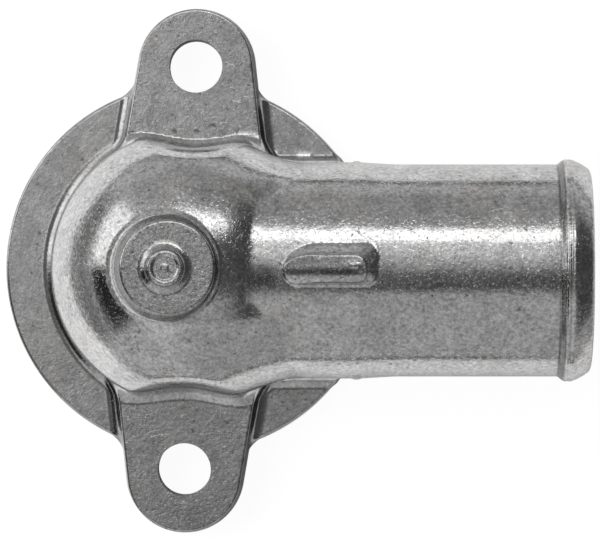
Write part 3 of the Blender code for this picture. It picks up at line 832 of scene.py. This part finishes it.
# %% Materials
def dress(material, colour, warm_colour, relief_depth, dull_shift, marked=False):
    """Bare metal: the colour times the skin's shade, its roughness and its relief. Where marked, scratches lighten
    it, and stains and painted shade darken it.
    """
    material.use_nodes = True
    tree = material.node_tree
    shader = tree.nodes["Principled BSDF"]
    shader.inputs["Metallic"].default_value = 1.0
    coordinates = tree.nodes.new("ShaderNodeTexCoord").outputs["Object"]
    height = tree.nodes.new("ShaderNodeSeparateXYZ")
    tree.links.new(coordinates, height.inputs[0])
    coarse = spread(tree, height.outputs[2], 8.0 * MM, 14.0 * MM, 0.0, 1.0)
    skin = tree.nodes.new("ShaderNodeGroup")
    skin.node_tree = SKIN_GROUP
    tree.links.new(coordinates, skin.inputs["Place"])
    tree.links.new(coarse, skin.inputs["Coarse"])
    shade = skin.outputs["Shade"]
    if marked:
        wobble = tree.nodes.new("ShaderNodeTexNoise")
        wobble.inputs["Scale"].default_value = 1600.0
        tree.links.new(coordinates, wobble.inputs["Vector"])
        shift = vector_math(tree, "SUBTRACT", wobble.outputs["Color"], (0.5, 0.5, 0.5))
        where = vector_math(tree, "ADD", coordinates, vector_math(tree, "SCALE", shift, 0.9 * MM))
        shade = calc(tree, "ADD", shade, calc(tree, "MULTIPLY", marks(tree, where, SCRATCHES), 0.75))
        # Stains, with the painted shade of the cove and stop-crown marks.
        stains_and_painted_shade_marks = calc(tree, "MULTIPLY", marks(tree, where, STAINS_AND_PAINTED_SHADE), 0.55)
        facing = tree.nodes.new("ShaderNodeSeparateXYZ")
        tree.links.new(tree.nodes.new("ShaderNodeNewGeometry").outputs["Normal"], facing.inputs[0])
        upright = spread(tree, facing.outputs[2], 0.35, 0.9, 1.0, 0.0)
        # Painted shade: steep walls below the top of the ears are darkened, the ears' walls more than the flange's
        # and walls facing -X least. This stands in for the shadow round the part's foot that they mirror.
        painted_foot_shade = calc(tree, "MULTIPLY", upright, spread(tree, height.outputs[2], 9.9 * MM, 10.3 * MM, 1.0, 0.0))
        painted_foot_shade = calc(tree, "MULTIPLY", painted_foot_shade, spread(tree, height.outputs[2], 4.6 * MM, 6.0 * MM, 0.5, 0.85))
        painted_foot_shade = calc(tree, "MULTIPLY", painted_foot_shade, spread(tree, facing.outputs[0], -0.9, -0.7, 0.4, 1.0))
        # Painted shade: a narrow band round the neck at the foot of the bead is darkened.
        edge_x = calc(tree, "SUBTRACT", height.outputs[0], (BEAD_START + BEAD_FLANK / 2 - 0.1 + CORNER_X) * MM)
        painted_bead_and_top_wall_shade = spread(tree, calc(tree, "ABSOLUTE", edge_x), 0.5 * MM, 0.75 * MM, 1.0, 0.0)
        from_axis = calc(tree, "ABSOLUTE", height.outputs[1])
        painted_bead_and_top_wall_shade = calc(tree, "MULTIPLY", painted_bead_and_top_wall_shade, spread(tree, from_axis, 7.0 * MM, 11.0 * MM, 0.3, 0.62))
        # Painted shade: upright walls higher than 44.6 mm, on the hose stop and the boss, are darkened.
        painted_top_wall_shade = calc(tree, "MULTIPLY", upright, spread(tree, height.outputs[2], 44.6 * MM, 44.9 * MM, 0.0, 0.62))
        painted_bead_and_top_wall_shade = calc(tree, "MAXIMUM", painted_bead_and_top_wall_shade, painted_top_wall_shade)
        # All the darkening together: stains and painted shade.
        stains_and_painted_shade = calc(tree, "MAXIMUM", calc(tree, "MAXIMUM", stains_and_painted_shade_marks, painted_foot_shade), painted_bead_and_top_wall_shade)
        shade = calc(tree, "MULTIPLY", shade, calc(tree, "SUBTRACT", 1.0, stains_and_painted_shade))
    tint = tree.nodes.new("ShaderNodeMix")
    tint.data_type = "RGBA"
    tree.links.new(skin.outputs["Warm"], tint.inputs["Factor"])
    tint.inputs["A"].default_value = (*colour, 1.0)
    tint.inputs["B"].default_value = (*warm_colour, 1.0)
    for socket in tint.inputs:
        if socket.name == "A" and socket.type == "RGBA":
            socket.default_value = (*colour, 1.0)
        if socket.name == "B" and socket.type == "RGBA":
            socket.default_value = (*warm_colour, 1.0)
    blend = [socket for socket in tint.outputs if socket.type == "RGBA"][0]
    tree.links.new(vector_math(tree, "SCALE", blend, shade), shader.inputs["Base Color"])
    tree.links.new(calc(tree, "ADD", skin.outputs["Dull"], dull_shift), shader.inputs["Roughness"])
    bump = tree.nodes.new("ShaderNodeBump")
    bump.inputs["Strength"].default_value = 1.0
    bump.inputs["Distance"].default_value = relief_depth * MM
    tree.links.new(skin.outputs["Relief"], bump.inputs["Height"])
    tree.links.new(bump.outputs["Normal"], shader.inputs["Normal"])


dress(SKIN, (0.60, 0.60, 0.603), (0.605, 0.592, 0.575), 0.03, 0.0, marked=True)
dress(MILLED, (0.66, 0.66, 0.665), (0.66, 0.655, 0.65), 0.006, 0.05)
dress(CORED, (0.55, 0.55, 0.552), (0.55, 0.54, 0.53), 0.03, 0.1)

# %% [markdown]
# # Studio
#
# The camera looks straight down. Bare metal mirrors the room, so the room is what gives the metal its
# tones: a pale board under the part, a long softbox above and behind it, a dark field round the camera
# and dark corners at the ends. The room is written as a world that changes with direction.

# %% Camera
CAMERA_ABOVE = 0.96
NECK_MIDDLE_SCALE = 0.1745 * MM
SHOWN_WIDTH = 600
IMAGE_CENTRE = (19.5, -0.46)
camera_data = bpy.data.cameras.new("camera")
camera = bpy.data.objects.new("camera", camera_data)
bpy.context.scene.collection.objects.link(camera)
camera.location = Vector(place(IMAGE_CENTRE[0], IMAGE_CENTRE[1], NECK_HEIGHT)) + Vector((0, 0, CAMERA_ABOVE))
camera_data.lens = camera_data.sensor_width * CAMERA_ABOVE / (SHOWN_WIDTH * NECK_MIDDLE_SCALE)
bpy.context.scene.camera = camera
print("lens", round(camera_data.lens, 1), "mm")

# %% World by direction
world = bpy.data.worlds.new("studio")
bpy.context.scene.world = world
world.use_nodes = True
room = world.node_tree
room.nodes.clear()
direction = room.nodes.new("ShaderNodeTexCoord").outputs["Generated"]
parts = room.nodes.new("ShaderNodeSeparateXYZ")
room.links.new(direction, parts.inputs[0])
to_x, to_y, to_z = parts.outputs
DEGREES = 180.0 / math.pi


def between(value, start, end, soft):
    """1 between two angles and 0 outside them, with soft edges."""
    rise = spread(room, value, start - soft, start + soft, 0.0, 1.0)
    fall = spread(room, value, end - soft, end + soft, 1.0, 0.0)
    return calc(room, "MULTIPLY", rise, fall)


def layer(under, over, mask):
    """Lay one brightness over another through a mask."""
    node = room.nodes.new("ShaderNodeMix")
    node.data_type = "FLOAT"
    put(room, mask, node.inputs[0])
    put(room, under, node.inputs[2])
    put(room, over, node.inputs[3])
    return node.outputs[0]


roll = calc(room, "MULTIPLY", calc(room, "ARCTAN2", to_y, to_z), DEGREES)
pitch = calc(room, "MULTIPLY", calc(room, "ARCSINE", to_x), DEGREES)
tilt = calc(room, "MULTIPLY", calc(room, "ARCCOSINE", to_z), DEGREES)
bearing = calc(room, "MULTIPLY", calc(room, "ARCTAN2", calc(room, "MULTIPLY", to_y, -1.0), calc(room, "MULTIPLY", to_x, -1.0)), DEGREES)

front_wall = calc(room, "MULTIPLY", spread(room, pitch, -8.0, 6.0, 1.22, 0.9), 0.43)
back_wall = calc(room, "MULTIPLY", front_wall, 0.8)
walls = layer(front_wall, back_wall, spread(room, roll, 20.0, 30.0, 0.0, 1.0))
walls = layer(walls, 0.52, between(roll, 91.0, 107.0, 3.0))
overhead = spread(room, roll, -21.0, -3.5, 0.07, 0.12)
overhead = calc(room, "ADD", overhead, spread(room, roll, -3.5, 0.5, 0.0, 0.14))
overhead = calc(room, "ADD", overhead, spread(room, roll, 2.0, 19.0, 0.0, 0.4))
to_left = calc(room, "MULTIPLY", spread(room, pitch, -5.0, 0.0, 0.62, 0.0), spread(room, roll, -3.0, 1.0, 0.2, 1.0))
overhead = calc(room, "ADD", overhead, to_left)
brightness = layer(walls, overhead, between(roll, -23.0, 29.0, 0.6))
left_dark = calc(room, "MULTIPLY", between(roll, -23.0, 25.0, 4.0), between(pitch, -45.0, -12.5, 2.0))
brightness = layer(brightness, 0.13, left_dark)
right_dark = calc(room, "MULTIPLY", spread(room, pitch, 14.0, 24.0, 0.0, 1.0), between(roll, -23.0, 48.0, 5.0))
brightness = layer(brightness, 0.09, right_dark)
far_right = calc(room, "MULTIPLY", spread(room, pitch, 30.0, 40.0, 0.0, 1.0), between(roll, -80.0, 74.0, 6.0))
brightness = layer(brightness, 0.07, far_right)
low_streak = calc(room, "MULTIPLY", between(bearing, -42.0, 42.0, 4.0), between(tilt, 88.0, 104.0, 2.5))
brightness = layer(brightness, 0.22, low_streak)
bright_card = calc(room, "MULTIPLY", between(bearing, -44.0, -4.0, 2.0), between(tilt, 50.0, 83.0, 2.5))
brightness = layer(brightness, 1.25, bright_card)
dark_card = calc(room, "MULTIPLY", between(bearing, -1.0, 43.0, 2.0), between(tilt, 48.0, 84.0, 2.0))
brightness = layer(brightness, 0.02, dark_card)
softbox = calc(room, "MULTIPLY", between(roll, 31.5, 45.0, 0.8), between(pitch, -40.0, 30.0, 1.0))
softbox = calc(room, "MULTIPLY", softbox, spread(room, pitch, -14.0, -5.0, 0.3, 1.0))
brightness = layer(brightness, 2.1, softbox)
brightness = layer(brightness, 0.08, spread(room, tilt, 107.5, 108.5, 0.0, 1.0))

light_path = room.nodes.new("ShaderNodeLightPath")
brightness = layer(brightness, 1.0, light_path.outputs["Is Camera Ray"])
background = room.nodes.new("ShaderNodeBackground")
room.links.new(brightness, background.inputs["Color"])
output = room.nodes.new("ShaderNodeOutputWorld")
room.links.new(background.outputs[0], output.inputs["Surface"])
print("world with", len(room.nodes), "nodes")

# %% Board and floor
bpy.ops.object.select_all(action="DESELECT")
bpy.ops.mesh.primitive_plane_add(size=6.0, location=(0, 0, -0.0002))
floor = bpy.context.object
floor.name = "floor"
paper = bpy.data.materials.new("paper")
paper.use_nodes = True
sheet = paper.node_tree
sheet.nodes.clear()
diffuse = sheet.nodes.new("ShaderNodeBsdfDiffuse")
glow = sheet.nodes.new("ShaderNodeEmission")
paths = sheet.nodes.new("ShaderNodeLightPath")
by_camera = paths.outputs["Is Camera Ray"]
sheet.links.new(spread(sheet, by_camera, 0.0, 1.0, 0.85, 0.08), diffuse.inputs["Color"])
sheet.links.new(calc(sheet, "MULTIPLY", by_camera, 0.95), glow.inputs["Strength"])
lit = sheet.nodes.new("ShaderNodeAddShader")
sheet.links.new(diffuse.outputs[0], lit.inputs[0])
sheet.links.new(glow.outputs[0], lit.inputs[1])
spot = sheet.nodes.new("ShaderNodeSeparateXYZ")
sheet.links.new(sheet.nodes.new("ShaderNodeTexCoord").outputs["Object"], spot.inputs[0])
board_x = (-110.0 + CORNER_X, 150.0 + CORNER_X)
board_y = 98.0
past_x = calc(sheet, "ABSOLUTE", calc(sheet, "SUBTRACT", spot.outputs[0], sum(board_x) / 2 * MM))
past_x = calc(sheet, "GREATER_THAN", past_x, (board_x[1] - board_x[0]) / 2 * MM)
past_y = calc(sheet, "GREATER_THAN", calc(sheet, "ABSOLUTE", spot.outputs[1]), board_y * MM)
off_board = calc(sheet, "MULTIPLY", calc(sheet, "MAXIMUM", past_x, past_y), paths.outputs["Is Glossy Ray"])
clear = sheet.nodes.new("ShaderNodeBsdfTransparent")
seen_by_metal = sheet.nodes.new("ShaderNodeMixShader")
sheet.links.new(off_board, seen_by_metal.inputs[0])
sheet.links.new(lit.outputs[0], seen_by_metal.inputs[1])
sheet.links.new(clear.outputs[0], seen_by_metal.inputs[2])
sheet.links.new(seen_by_metal.outputs[0], sheet.nodes.new("ShaderNodeOutputMaterial").inputs["Surface"])
floor.data.materials.append(paper)

# %% Fill lamp for the board
lamp_data = bpy.data.lights.new("overhead_fill", "AREA")
lamp_data.shape = "SQUARE"
lamp_data.size = 0.5
lamp_data.energy = 4.0
lamp = bpy.data.objects.new("overhead_fill", lamp_data)
lamp.location = (-0.42, 0.06, 0.5)
lamp.rotation_euler = (-lamp.location).to_track_quat("-Z", "Y").to_euler()
lamp.visible_glossy = False
bpy.context.scene.collection.objects.link(lamp)

# %% Output settings and the end
bpy.context.scene.view_settings.view_transform = "Standard"
